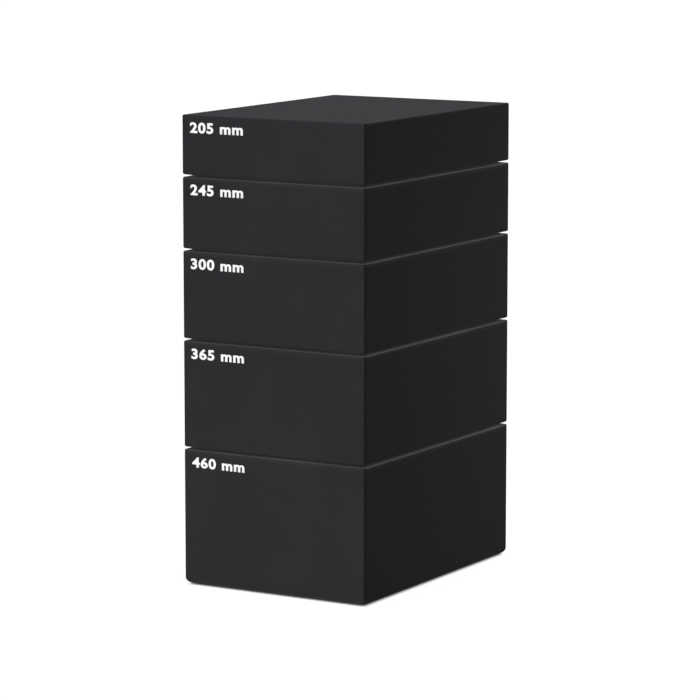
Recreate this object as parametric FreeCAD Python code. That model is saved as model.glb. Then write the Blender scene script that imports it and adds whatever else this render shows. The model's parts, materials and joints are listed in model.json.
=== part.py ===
# A stack of five soft plyo blocks. Each block is a laminated foam core with a softer
# impact pad glued on top, inside a sewn vinyl cover that zips open across the back.
# Millimetres, +Z up, +Y towards the back, origin at the middle of the stack's floor face.
import FreeCAD
import Part
import math
import os

# Footprint, the same on every block
BLOCK_WIDTH = 700.0  # across the front, along X
BLOCK_DEPTH = 980.0  # front to back, along Y

# Height of each block from its floor face to its landing face, lowest block first
BOTTOM_HEIGHT = 460.0
LOWER_HEIGHT = 365.0
MIDDLE_HEIGHT = 300.0
UPPER_HEIGHT = 245.0
TOP_HEIGHT = 205.0

# Vinyl cover
VINYL = 1.2  # sheet thickness of the walls and the landing panel
TREAD = 3.0  # thickness of the non-slip floor panel
LANDING_EDGE_R = 4.0  # rounding all round the landing face
CORNER_R = 8.0  # rounding of the upright corners
STANDING_EDGE_R = 22.0  # rounding all round the floor face of the bottom block, which stands on the floor
FLOOR_EDGE_R = 5.0  # on the other blocks, rounding between a wall and the slope that it draws in along below
SLOPE_RISE = 7.5  # from the lower lip of the walls to where a wall and its slope meet
SLOPE_RUN = 36.0  # from a wall in to where its slope and the lower lip meet
SLOPE_FOOT_R = 40.0  # rounding between the slope and the lip
SEAM_GAP = 0.2  # between the floor panel and the lower lip of the walls
MITRE_REACH = 60.0  # how far the cuts between two panels run into the block
OVERSHOOT = 10.0  # how far a shaping prism passes the faces that it doesn't shape

# Foam inside the cover
PAD_THICKNESS = 30.0  # soft impact pad under the landing panel
SLAB_NOMINAL = 75.0  # sheet thickness that the core is laminated from, before trimming
FOAM_FIT = 0.4  # between the foam and the walls of the cover
BED_GAP = 0.3  # between the foam and the lower lip of the walls

# Zip across the back wall: two tapes, each with its coil on the inside
ZIP_RISE = 60.0  # middle of the zip above the block's floor face
ZIP_END_MARGIN = 50.0  # from each end of the slot to the side of the block
SLOT_WIDTH = 14.0  # opening in the back wall that shows the tapes
SLOT_END_R = 3.0
SLIT = 2.4  # between the facing edges of the two tapes
TAPE_WIDTH = 14.0
TAPE_THICKNESS = 0.8
TAPE_TAIL = 10.0  # tape sewn behind the wall past each end of the slot
COIL_WIDTH = 3.0
COIL_DEPTH = 2.2
STOP_LENGTH = 3.0  # end stop beyond each end of the coils

# Zip slider, with a lug for the pull
SLIDER_LENGTH = 24.0
SLIDER_FRONT_WIDTH = 12.0
SLIDER_BACK_WIDTH = 9.5
SLIDER_EDGE_R = 2.0
SLIDER_PLATE = 1.8  # thickness of the outer and the inner plate
SLIDER_GAP = 0.4  # running gap to the tapes, the coils and the end stops
FLANGE = 1.0  # lip of the inner plate, beside each coil
NECK_LENGTH = 7.0
NECK_INSET = 2.0  # from the front of the slider to the neck
LUG_THICKNESS = 2.4
LUG_WALL = 1.7  # material round the bore for the pull's bar
LUG_FOOT = 11.0  # length of the lug where it stands on the outer plate
HINGE_RISE = 2.8  # bore above the outer plate

# Pull tab, which swings on a bar through the lug
BAR_R = 1.0
BAR_CLEARANCE = 0.06  # all round the bar in its bore
ARM_GAP = 0.4  # between the lug and each arm
ARM_WIDTH = 2.0
ARM_LENGTH = 9.0  # from the bar to the tab
PULL_THICKNESS = 2.4
TAB_LENGTH = 34.0
TAB_WIDTH = 11.0
TAB_END_R = 4.0
GRIP_GROOVES = 4
GRIP_GROOVE_WIDTH = 2.0
GRIP_GROOVE_DEPTH = 0.5
GRIP_PITCH = 5.0

# The blocks from the floor up
BLOCKS = (
    ("bottom_block", BOTTOM_HEIGHT),
    ("lower_block", LOWER_HEIGHT),
    ("middle_block", MIDDLE_HEIGHT),
    ("upper_block", UPPER_HEIGHT),
    ("top_block", TOP_HEIGHT),
)

# Worked out from the sizes above
WALL_LOW = TREAD - VINYL - BED_GAP  # lower lip of the walls, which the floor panel stands below
SLOPE_LENGTH = math.hypot(SLOPE_RISE, SLOPE_RUN)
SLOPE_LIP = SLOPE_RUN + SLOPE_FOOT_R * math.tan(math.atan2(SLOPE_RISE, SLOPE_RUN) / 2)  # from a wall in to the lip's end
BACK_FACE = BLOCK_DEPTH / 2
TAPE_FACE = BACK_FACE - VINYL  # outer face of the tapes, against the inside of the back wall
TAPE_BACK = TAPE_FACE - TAPE_THICKNESS
COIL_BACK = TAPE_BACK - COIL_DEPTH
SLOT_LENGTH = BLOCK_WIDTH - 2 * ZIP_END_MARGIN
COIL_LENGTH = SLOT_LENGTH - 2 * STOP_LENGTH
COIL_OUTER = SLIT / 2 + COIL_WIDTH  # from the middle of the zip to the far side of a coil
TAPE_OUTER = SLIT / 2 + TAPE_WIDTH
INNER_PLATE_FACE = COIL_BACK - SLIDER_GAP
INNER_PLATE_BACK = INNER_PLATE_FACE - SLIDER_PLATE
INNER_PLATE_WIDTH = 2 * (COIL_OUTER + SLIDER_GAP + FLANGE)
OUTER_PLATE_BACK = TAPE_FACE + SLIDER_GAP
OUTER_PLATE_FACE = OUTER_PLATE_BACK + SLIDER_PLATE
HINGE_Y = OUTER_PLATE_FACE + HINGE_RISE
ZIP_TRAVEL = COIL_LENGTH - SLIDER_LENGTH - 2 * SLIDER_GAP
SLIDER_X = ZIP_TRAVEL / 2  # the zip rests closed, with the slider at its +X end


def on_xy(u, v):
    return FreeCAD.Vector(u, v, 0)


def on_xz(u, v):
    return FreeCAD.Vector(u, 0, v)


def on_yz(u, v):
    return FreeCAD.Vector(0, u, v)


def rounded_face(corners, place):
    """Flat face with rounded corners. Each corner is (u, v, radius) and place puts it in space."""
    edges = []
    first_point = None
    last_point = None
    for index, (u, v, radius) in enumerate(corners):
        corner = FreeCAD.Vector(u, v, 0)
        before = FreeCAD.Vector(*corners[index - 1][:2], 0)
        after = FreeCAD.Vector(*corners[(index + 1) % len(corners)][:2], 0)
        to_before = (before - corner).normalize()
        to_after = (after - corner).normalize()
        half_angle = to_before.getAngle(to_after) / 2
        start = corner + to_before * (radius / math.tan(half_angle))
        end = corner + to_after * (radius / math.tan(half_angle))
        if last_point is not None:
            edges.append(straight(last_point, start, place))
        if radius > 0:
            inward = (to_before + to_after).normalize()
            middle = corner + inward * (radius / math.sin(half_angle) - radius)
            arc = Part.Arc(place(start.x, start.y), place(middle.x, middle.y), place(end.x, end.y))
            edges.append(arc.toShape())
        first_point = first_point or start
        last_point = end
    edges.append(straight(last_point, first_point, place))
    return Part.Face(Part.Wire(edges))


def straight(start, end, place):
    return Part.LineSegment(place(start.x, start.y), place(end.x, end.y)).toShape()


def rectangle(length, low, high, low_r, high_r):
    """Corners of a rectangle centred on u, with one radius at its low side and one at its high side."""
    half = length / 2
    return [(-half, low, low_r), (half, low, low_r), (half, high, high_r), (-half, high, high_r)]


def sloped_section(length, inset, low, high, high_r):
    """Corners of a block's section that draws in below along a slope, inset inside the slope of the cover."""
    half = length / 2
    meeting = WALL_LOW + SLOPE_RISE
    rise = meeting + inset * (SLOPE_LENGTH - SLOPE_RISE) / SLOPE_RUN
    foot = half + inset - ((meeting - low) * SLOPE_RUN + inset * SLOPE_LENGTH) / SLOPE_RISE
    foot_r = SLOPE_FOOT_R - inset
    turn_r = FLOOR_EDGE_R - inset
    return [
        (-foot, low, foot_r),
        (foot, low, foot_r),
        (half, rise, turn_r),
        (half, high, high_r),
        (-half, high, high_r),
        (-half, rise, turn_r),
    ]


def slab(length, width, thickness):
    """Plain block centred on X and Y that stands on Z = 0."""
    return Part.makeBox(length, width, thickness, FreeCAD.Vector(-length / 2, -width / 2, 0))


def centred_prism(face, along):
    """Solid that a face sweeps from half the way behind it to half the way ahead."""
    return face.translated(along * -0.5).extrude(along)


def soft_box(inset, low, high, high_r, corner_r, below):
    """Block that lies inset inside the footprint, rounded above and upright, and round, sloped or square below."""
    width = BLOCK_WIDTH - 2 * inset
    depth = BLOCK_DEPTH - 2 * inset
    sections = []
    for length, place in ((width, on_xz), (depth, on_yz)):
        if below == "sloped":
            corners = sloped_section(length, inset, low, high, high_r)
        else:
            low_r = STANDING_EDGE_R - inset if below == "round" else 0
            corners = rectangle(length, low, high, low_r, high_r)
        sections.append(rounded_face(corners, place))
    across, along = sections
    plan = rounded_face(rectangle(width, -depth / 2, depth / 2, corner_r, corner_r), on_xy)
    across = centred_prism(across, FreeCAD.Vector(0, depth + 2 * OVERSHOOT, 0))
    along = centred_prism(along, FreeCAD.Vector(width + 2 * OVERSHOOT, 0, 0))
    foot = FreeCAD.Vector(0, 0, low - OVERSHOOT)
    upright = plan.translated(foot).extrude(FreeCAD.Vector(0, 0, high - low + 2 * OVERSHOOT))
    return upright.common(across).common(along).removeSplitter()


def lip_edge(below):
    """From a wall in to the end of its lower lip, which the floor panel is sewn to."""
    return STANDING_EDGE_R if below == "round" else SLOPE_LIP


def cover_shell(height, below):
    """The whole vinyl cover of one block before it is cut into panels, without the floor panel."""
    outer = soft_box(0, WALL_LOW, height, LANDING_EDGE_R, CORNER_R, below)
    inner = soft_box(VINYL, WALL_LOW + VINYL, height - VINYL, LANDING_EDGE_R - VINYL, CORNER_R - VINYL, below)
    opening = slab(BLOCK_WIDTH - 2 * lip_edge(below), BLOCK_DEPTH - 2 * lip_edge(below), TREAD)
    return outer.cut(inner).cut(opening)


def landing_cutter(height):
    """Everything that lies nearer to the landing face than to a wall, cut at 45 degrees along the edges."""
    wedges = []
    sides = (
        (BLOCK_WIDTH, on_xz, FreeCAD.Vector(0, BLOCK_DEPTH, 0)),
        (BLOCK_DEPTH, on_yz, FreeCAD.Vector(BLOCK_WIDTH, 0, 0)),
    )
    for length, place, along in sides:
        half = length / 2
        low = height - MITRE_REACH
        inner = half - MITRE_REACH
        face = rounded_face([(-inner, low, 0), (inner, low, 0), (half, height, 0), (-half, height, 0)], place)
        wedges.append(centred_prism(face, along))
    return wedges[0].common(wedges[1])


def wall_cutter(height, turn):
    """Everything that lies nearer to one wall than to its neighbours, in quarter turns from the front."""
    half_width = BLOCK_WIDTH / 2
    half_depth = BLOCK_DEPTH / 2
    reach = MITRE_REACH
    corner_signs = ((-1, -1), (1, -1), (1, 1), (-1, 1))
    first = corner_signs[turn]
    second = corner_signs[(turn + 1) % len(corner_signs)]
    outline = [(x * half_width, y * half_depth) for x, y in (first, second)]
    outline += [(x * (half_width - reach), y * (half_depth - reach)) for x, y in (second, first)]
    face = rounded_face([(x, y, 0) for x, y in outline], on_xy)
    return face.extrude(FreeCAD.Vector(0, 0, height))


def cover_panels(height, below):
    """The sewn panels of one block's cover by name."""
    shell = cover_shell(height, below)
    top_cut = landing_cutter(height)
    walls = shell.cut(top_cut)
    panels = {"landing_panel": shell.common(top_cut)}
    for turn, name in enumerate(("front_panel", "right_panel", "back_panel", "left_panel")):
        panels[name] = walls.common(wall_cutter(height, turn))
    panels["back_panel"] = panels["back_panel"].cut(zip_slot())
    floor_length = BLOCK_WIDTH - 2 * (lip_edge(below) + SEAM_GAP)
    floor_width = BLOCK_DEPTH - 2 * (lip_edge(below) + SEAM_GAP)
    panels["floor_panel"] = slab(floor_length, floor_width, TREAD)
    return panels


def across_wall(corners, inner_y, outer_y):
    """Solid between two depths of the back wall. Each corner is (x, rise from the zip's middle, radius)."""
    face = rounded_face([(x, ZIP_RISE + rise, radius) for x, rise, radius in corners], on_xz)
    face.translate(FreeCAD.Vector(0, inner_y, 0))
    return face.extrude(FreeCAD.Vector(0, outer_y - inner_y, 0))


def zip_slot():
    """The opening in the back wall that the slider runs in."""
    corners = rectangle(SLOT_LENGTH, -SLOT_WIDTH / 2, SLOT_WIDTH / 2, SLOT_END_R, SLOT_END_R)
    return across_wall(corners, TAPE_FACE, BACK_FACE)


def foam_relief():
    """Channel in the foam behind the zip, deep enough for the slider's inner plate."""
    half_height = TAPE_OUTER + SLIDER_GAP
    corners = rectangle(SLOT_LENGTH + 2 * (TAPE_TAIL + SLIDER_GAP), -half_height, half_height, 0, 0)
    return across_wall(corners, INNER_PLATE_BACK - SLIDER_GAP, BACK_FACE)


def foam_pieces(height, below):
    """The core's slabs and the impact pad of one block."""
    pad_low = height - VINYL - PAD_THICKNESS
    inset = VINYL + FOAM_FIT
    corner_r = CORNER_R - VINYL
    core = soft_box(inset, TREAD, pad_low, 0, corner_r, below).cut(foam_relief())
    pad = soft_box(inset, pad_low, height - VINYL, LANDING_EDGE_R - VINYL, corner_r, "square")
    count = max(1, round((pad_low - TREAD) / SLAB_NOMINAL))
    thickness = (pad_low - TREAD) / count
    slabs = []
    for layer in range(count):
        cutter = slab(BLOCK_WIDTH, BLOCK_DEPTH, thickness)
        cutter.translate(FreeCAD.Vector(0, 0, TREAD + layer * thickness))
        slabs += core.common(cutter).Solids
    return {"foam_slabs": Part.makeCompound(slabs), "impact_pad": pad}


def mirrored_pair(shape):
    """A piece of the upper half of the zip and its twin below the slit."""
    middle = FreeCAD.Vector(0, 0, ZIP_RISE)
    return [shape, shape.mirror(middle, FreeCAD.Vector(0, 0, 1))]


def zip_tapes():
    tape_length = SLOT_LENGTH + 2 * TAPE_TAIL
    upper = across_wall(rectangle(tape_length, SLIT / 2, TAPE_OUTER, 0, 0), TAPE_BACK, TAPE_FACE)
    return Part.makeCompound(mirrored_pair(upper))


def zip_coils():
    """The two coils, each a bar with a rounded inner side, and an end stop at each end of each coil."""
    section = rounded_face(
        [
            (COIL_BACK, SLIT / 2, COIL_WIDTH / 3),
            (TAPE_BACK, SLIT / 2, 0),
            (TAPE_BACK, COIL_OUTER, 0),
            (COIL_BACK, COIL_OUTER, COIL_WIDTH / 3),
        ],
        on_yz,
    )
    section.translate(FreeCAD.Vector(-COIL_LENGTH / 2, 0, ZIP_RISE))
    pieces = mirrored_pair(section.extrude(FreeCAD.Vector(COIL_LENGTH, 0, 0)))
    for side in (-1, 1):
        middle = side * (COIL_LENGTH + STOP_LENGTH) / 2
        corners = rectangle(STOP_LENGTH, SLIT / 2, COIL_OUTER, 0, 0)
        stop = across_wall(corners, INNER_PLATE_BACK, TAPE_BACK).translated(FreeCAD.Vector(middle, 0, 0))
        pieces += mirrored_pair(stop)
    return Part.makeCompound(pieces)


def slider_plate(front_width, back_width, inner_y, outer_y):
    """One plate of the slider, wider at its front, which points to the closed end of the zip."""
    half = SLIDER_LENGTH / 2
    corners = [
        (-half, -back_width / 2, SLIDER_EDGE_R),
        (half, -front_width / 2, SLIDER_EDGE_R),
        (half, front_width / 2, SLIDER_EDGE_R),
        (-half, back_width / 2, SLIDER_EDGE_R),
    ]
    return across_wall(corners, inner_y, outer_y)


def slider_lug():
    """Upstanding lug on the outer plate with the bore that the pull swings in."""
    bore_r = BAR_R + BAR_CLEARANCE
    top = HINGE_Y + bore_r + LUG_WALL
    crown_r = bore_r + LUG_WALL
    outline = [
        (-LUG_FOOT / 2, OUTER_PLATE_FACE - SLIDER_PLATE / 2, 0),
        (LUG_FOOT / 2, OUTER_PLATE_FACE - SLIDER_PLATE / 2, 0),
        (crown_r, top, crown_r / 2),
        (-crown_r, top, crown_r / 2),
    ]
    lug = rounded_face(outline, on_xy).extrude(FreeCAD.Vector(0, 0, LUG_THICKNESS))
    foot = FreeCAD.Vector(0, HINGE_Y, 0)
    bore = Part.makeCylinder(bore_r, LUG_THICKNESS, foot, FreeCAD.Vector(0, 0, 1))
    return lug.cut(bore).translated(FreeCAD.Vector(0, 0, ZIP_RISE - LUG_THICKNESS / 2))


def zip_slider():
    """Outer plate with its lug, a neck through the slit, and an inner plate that wraps the coils."""
    body = slider_plate(SLIDER_FRONT_WIDTH, SLIDER_BACK_WIDTH, OUTER_PLATE_BACK, OUTER_PLATE_FACE)
    inner = slider_plate(INNER_PLATE_WIDTH, INNER_PLATE_WIDTH, INNER_PLATE_BACK, INNER_PLATE_FACE)
    lips = slider_plate(INNER_PLATE_WIDTH, INNER_PLATE_WIDTH, INNER_PLATE_BACK, TAPE_BACK - SLIDER_GAP)
    channel_half = COIL_OUTER + SLIDER_GAP
    channel = across_wall(
        rectangle(2 * SLIDER_LENGTH, -channel_half, channel_half, 0, 0), INNER_PLATE_FACE, TAPE_BACK
    )
    neck_front = SLIDER_LENGTH / 2 - NECK_INSET
    neck_half = SLIT / 2 - SLIDER_GAP
    neck_corners = [
        (neck_front - NECK_LENGTH, -neck_half, 0),
        (neck_front, -neck_half, 0),
        (neck_front, neck_half, 0),
        (neck_front - NECK_LENGTH, neck_half, 0),
    ]
    neck = across_wall(neck_corners, INNER_PLATE_BACK, OUTER_PLATE_FACE)
    body = body.fuse([inner, lips.cut(channel), neck, slider_lug()]).removeSplitter()
    return body.translated(FreeCAD.Vector(SLIDER_X, 0, 0))


def zip_pull():
    """Bar through the lug, two arms beside it and a grooved tab, lying flat and pointing along the zip."""
    arm_inner = LUG_THICKNESS / 2 + ARM_GAP
    arm_outer = arm_inner + ARM_WIDTH
    axis = FreeCAD.Vector(0, 0, 1)
    bar = Part.makeCylinder(BAR_R, 2 * arm_outer, FreeCAD.Vector(0, HINGE_Y, ZIP_RISE - arm_outer), axis)
    low_y = HINGE_Y - PULL_THICKNESS / 2
    high_y = HINGE_Y + PULL_THICKNESS / 2
    arm_root = -ARM_LENGTH - TAB_END_R
    pieces = []
    for inner, outer in ((arm_inner, arm_outer), (-arm_outer, -arm_inner)):
        corners = [(arm_root, inner, 0), (0, inner, 0), (0, outer, 0), (arm_root, outer, 0)]
        pieces.append(across_wall(corners, low_y, high_y))
        eye_foot = FreeCAD.Vector(0, HINGE_Y, ZIP_RISE + inner)
        pieces.append(Part.makeCylinder(PULL_THICKNESS / 2, ARM_WIDTH, eye_foot, axis))
    near = -ARM_LENGTH
    far = near - TAB_LENGTH
    half = TAB_WIDTH / 2
    tab_outline = ((far, -half), (near, -half), (near, half), (far, half))
    tab = across_wall([(x, rise, TAB_END_R) for x, rise in tab_outline], low_y, high_y)
    grooves = []
    for number in range(GRIP_GROOVES):
        middle = (near + far) / 2 + (number - (GRIP_GROOVES - 1) / 2) * GRIP_PITCH
        corners = rectangle(GRIP_GROOVE_WIDTH, -half, half, 0, 0)
        for low in (low_y, high_y - GRIP_GROOVE_DEPTH):
            groove = across_wall(corners, low, low + GRIP_GROOVE_DEPTH)
            grooves.append(groove.translated(FreeCAD.Vector(middle, 0, 0)))
    pull = bar.fuse(pieces + [tab.cut(grooves)]).removeSplitter()
    return pull.translated(FreeCAD.Vector(SLIDER_X, 0, 0))


def block_pieces(height, below):
    """Every piece of one block by name, with the block's floor face at Z = 0."""
    pieces = cover_panels(height, below)
    pieces.update(foam_pieces(height, below))
    pieces["zip_tapes"] = zip_tapes()
    pieces["zip_coils"] = zip_coils()
    pieces["zip_slider"] = zip_slider()
    pieces["zip_pull"] = zip_pull()
    return pieces


def main():
    os.makedirs("parts", exist_ok=True)
    level = 0.0
    for index, (block, height) in enumerate(BLOCKS):
        below = "sloped" if index else "round"
        for name, shape in block_pieces(height, below).items():
            placed = shape.translated(FreeCAD.Vector(0, 0, level))
            placed.exportStep(f"parts/{block}_{name}.step")
        level += height


if __name__ == "__main__":
    main()
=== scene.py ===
import bpy
import bmesh
import json
import math
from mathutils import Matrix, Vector, noise

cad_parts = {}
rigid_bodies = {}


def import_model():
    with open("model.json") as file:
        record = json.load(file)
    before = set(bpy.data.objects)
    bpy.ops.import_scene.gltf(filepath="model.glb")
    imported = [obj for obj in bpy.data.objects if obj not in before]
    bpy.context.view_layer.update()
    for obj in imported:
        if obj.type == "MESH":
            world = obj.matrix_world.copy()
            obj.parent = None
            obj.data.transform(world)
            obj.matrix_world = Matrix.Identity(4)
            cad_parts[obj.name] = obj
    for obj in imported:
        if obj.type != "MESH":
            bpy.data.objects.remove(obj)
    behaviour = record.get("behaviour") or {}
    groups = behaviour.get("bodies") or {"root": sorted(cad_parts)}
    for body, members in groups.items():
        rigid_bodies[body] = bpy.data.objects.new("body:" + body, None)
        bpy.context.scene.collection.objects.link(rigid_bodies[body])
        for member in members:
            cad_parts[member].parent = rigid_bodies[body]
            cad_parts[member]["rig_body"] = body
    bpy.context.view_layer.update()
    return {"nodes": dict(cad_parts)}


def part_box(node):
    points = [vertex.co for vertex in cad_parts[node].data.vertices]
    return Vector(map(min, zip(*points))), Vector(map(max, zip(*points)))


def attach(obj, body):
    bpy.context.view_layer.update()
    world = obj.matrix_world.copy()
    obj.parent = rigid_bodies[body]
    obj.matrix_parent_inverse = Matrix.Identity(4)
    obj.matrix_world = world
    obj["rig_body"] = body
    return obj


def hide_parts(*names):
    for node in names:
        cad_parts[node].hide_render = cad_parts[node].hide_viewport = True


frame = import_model()
nodes = frame["nodes"]
blockNames = ["bottom_block", "lower_block", "middle_block", "upper_block", "top_block"]
print("frame loaded with", len(nodes), "nodes")


def srgb(red, green, blue):  # screen colour 0-255 to the linear colour that a socket takes
    def linear(value):
        value = value / 255
        return value / 12.92 if value <= 0.04045 else ((value + 0.055) / 1.055) ** 2.4
    return (linear(red), linear(green), linear(blue), 1.0)


def addNode(tree, kind, **values):
    node = tree.nodes.new(kind)
    for key, value in values.items():
        if key in node.inputs:
            node.inputs[key].default_value = value
        else:
            setattr(node, key, value)
    return node


def feed(tree, value, socket):  # sets a plain value on the socket, or links another node's output to it
    if isinstance(value, (int, float, tuple)):
        socket.default_value = value
    else:
        tree.links.new(value, socket)


def mathNode(tree, operation, *values):
    node = addNode(tree, "ShaderNodeMath", operation=operation)
    for socket, value in zip(node.inputs, values):
        feed(tree, value, socket)
    return node.outputs[0]


def mixNode(tree, factor, first, second, blend="MIX"):
    node = addNode(tree, "ShaderNodeMix", data_type="RGBA", blend_type=blend)
    feed(tree, factor, node.inputs["Factor"])
    feed(tree, first, node.inputs[6])  # the colour sockets come after those for numbers and vectors
    feed(tree, second, node.inputs[7])
    return node.outputs[2]


def rangeNode(tree, value, fromEnds=(0.0, 1.0), toEnds=(0.0, 1.0), **settings):
    node = addNode(tree, "ShaderNodeMapRange", **settings)
    feed(tree, value, node.inputs["Value"])
    for side, ends in (("From", fromEnds), ("To", toEnds)):
        for label, end in zip(("Min", "Max"), ends):
            feed(tree, end, node.inputs[f"{side} {label}"])
    return node.outputs["Result"]


def placeTexture(tree, texture, scale):  # laid out in the object's own metres
    tree.links.new(addNode(tree, "ShaderNodeTexCoord").outputs["Object"], texture.inputs["Vector"])
    feed(tree, scale, texture.inputs["Scale"])


def newGroup(name, inputs, outputs):
    group = bpy.data.node_groups.new(name, "ShaderNodeTree")
    for label, value in inputs.items():
        kind = "NodeSocketColor" if isinstance(value, tuple) else "NodeSocketFloat"
        group.interface.new_socket(label, in_out="INPUT", socket_type=kind).default_value = value
    for label, kind in outputs.items():
        group.interface.new_socket(label, in_out="OUTPUT", socket_type=kind)
    return group, group.nodes.new("NodeGroupInput"), group.nodes.new("NodeGroupOutput")


def useGroup(tree, group, **values):
    node = addNode(tree, "ShaderNodeGroup", node_tree=group)
    for key, value in values.items():
        node.inputs[key].default_value = value
    return node


def makePebbleGrain():  # raised cells with fine noise over them, as pressed into coated cloth or cut into foam
    group, given, result = newGroup(
        "PebbleGrain",
        {"CellScale": 700.0, "FineScale": 2200.0, "FineShare": 0.35},
        {"Height": "NodeSocketFloat"},
    )
    cells = addNode(group, "ShaderNodeTexVoronoi", feature="SMOOTH_F1", Smoothness=0.35)
    fine = addNode(group, "ShaderNodeTexNoise", Detail=2.0)
    placeTexture(group, cells, given.outputs["CellScale"])
    placeTexture(group, fine, given.outputs["FineScale"])
    raised = mathNode(group, "SUBTRACT", 1.0, cells.outputs["Distance"])
    fineHeight = mathNode(group, "MULTIPLY", fine.outputs["Fac"], given.outputs["FineShare"])
    feed(group, mathNode(group, "ADD", raised, fineHeight), result.inputs["Height"])
    return group


patchBlend = {
    "patchShare": 0.8,
    "speckShare": 0.2,
    "spread": (0.38, 0.66),  # noise level at which a patch begins, and at which it is full
}


def makeHandling():  # soft patches where hands, shoes and dust have changed the finish
    group, given, result = newGroup(
        "Handling",
        {"Clean": (0.03, 0.03, 0.03, 1.0), "Handled": (0.05, 0.05, 0.05, 1.0), "PatchScale": 4.0,
         "SpeckScale": 140.0, "Low": 0.5, "High": 0.6},
        {"Color": "NodeSocketColor", "Roughness": "NodeSocketFloat", "Mask": "NodeSocketFloat"},
    )
    patches = addNode(group, "ShaderNodeTexNoise", Detail=5.0, Roughness=0.6)
    specks = addNode(group, "ShaderNodeTexNoise", Detail=3.0, Roughness=0.7)
    placeTexture(group, patches, given.outputs["PatchScale"])
    placeTexture(group, specks, given.outputs["SpeckScale"])
    both = mathNode(group, "ADD", mathNode(group, "MULTIPLY", patches.outputs["Fac"], patchBlend["patchShare"]),
                    mathNode(group, "MULTIPLY", specks.outputs["Fac"], patchBlend["speckShare"]))
    mask = rangeNode(group, both, patchBlend["spread"], interpolation_type="SMOOTHSTEP")
    feed(group, mixNode(group, mask, given.outputs["Clean"], given.outputs["Handled"]), result.inputs["Color"])
    roughness = rangeNode(group, mask, toEnds=(given.outputs["Low"], given.outputs["High"]))
    feed(group, roughness, result.inputs["Roughness"])
    feed(group, mask, result.inputs["Mask"])
    return group


def makeSeamPucker():  # small creases that run into a sewn edge and die out a thumb's width from it
    group, given, result = newGroup(
        "SeamPucker", {"CreaseScale": 60.0, "Reach": 0.018}, {"Height": "NodeSocketFloat"})
    creases = addNode(group, "ShaderNodeTexNoise", Detail=3.0, Distortion=0.4)
    placeTexture(group, creases, given.outputs["CreaseScale"])
    fromSeam = addNode(group, "ShaderNodeAttribute", attribute_name="seam").outputs["Fac"]
    reaches = mathNode(group, "DIVIDE", fromSeam, given.outputs["Reach"])
    nearness = mathNode(group, "POWER", math.e, mathNode(group, "MULTIPLY", reaches, -1.0))
    feed(group, mathNode(group, "MULTIPLY", creases.outputs["Fac"], nearness), result.inputs["Height"])
    return group


def makeWeave():  # plain weave of tape or thread, as two crossed waves
    group, given, result = newGroup("Weave", {"Threads": 900.0}, {"Height": "NodeSocketFloat"})
    heights = []
    for direction in ("X", "Z"):
        wave = addNode(group, "ShaderNodeTexWave", wave_type="BANDS", bands_direction=direction, Distortion=0.3)
        placeTexture(group, wave, given.outputs["Threads"])
        heights.append(wave.outputs["Fac"])
    feed(group, mathNode(group, "MAXIMUM", *heights), result.inputs["Height"])
    return group


pebbleGrain = makePebbleGrain()
handling = makeHandling()
seamPucker = makeSeamPucker()
weave = makeWeave()


def startFinish(look):  # a material with its shader, and the patches that vary its colour and roughness
    material = bpy.data.materials.new(look["material"])
    material.use_nodes = True
    tree = material.node_tree
    shader = tree.nodes["Principled BSDF"]
    shader.inputs["Specular IOR Level"].default_value = look["specular"]
    shader.inputs["Sheen Weight"].default_value = look.get("sheen", 0.0)
    low, high = look["roughness"]
    patches = useGroup(tree, handling, Clean=look["clean"], Handled=look["handled"], Low=low, High=high,
                       PatchScale=look["patchScale"], SpeckScale=look["speckScale"])
    feed(tree, patches.outputs["Color"], shader.inputs["Base Color"])
    feed(tree, patches.outputs["Roughness"], shader.inputs["Roughness"])
    return material, tree, shader, patches.outputs


def addRelief(tree, look):  # threads where the look has them, otherwise grain
    if "threads" in look:
        return useGroup(tree, weave, Threads=look["threads"]).outputs["Height"]
    return useGroup(tree, pebbleGrain, **look["grain"]).outputs["Height"]


def addBump(tree, shader, height, strength, depth, under=None):
    bump = addNode(tree, "ShaderNodeBump", Strength=strength, Distance=depth)
    feed(tree, height, bump.inputs["Height"])
    if under is not None:
        feed(tree, under, bump.inputs["Normal"])
    feed(tree, bump.outputs["Normal"], shader.inputs["Normal"])
    return bump.outputs["Normal"]


vinylLook = {
    "material": "coverVinyl",
    "clean": srgb(44, 42, 45),
    "handled": srgb(48, 46, 49),
    # pale rubbed vinyl, also used as painted highlight along the top edges and painted light along the lower
    # edges
    "rubbedAndLit": srgb(84, 82, 85),
    "paintedSeamShade": srgb(24, 23, 25),  # painted shade, darkest at the seam halfway round each upright corner
    "patchScale": 3.2,
    "speckScale": 90.0,
    "roughness": (0.8, 0.9),
    "specular": 0.02,
    "rubAndLightShare": (0.7, 1.0),  # how much of the rub, with its painted highlight and painted light, shows on clean and on handled vinyl
    "grain": {"CellScale": 620.0, "FineScale": 1860.0},
    "grainSpan": (0.38, 0.82),  # grain height from the valleys to the tops
    "grainShade": (0.8, 1.12),  # how dark the valleys and how pale the tops are
    "strength": 0.8,
    "depth": 0.0005,
    "puckerStrength": 0.35,
    "puckerDepth": 0.0012,
}


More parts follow.
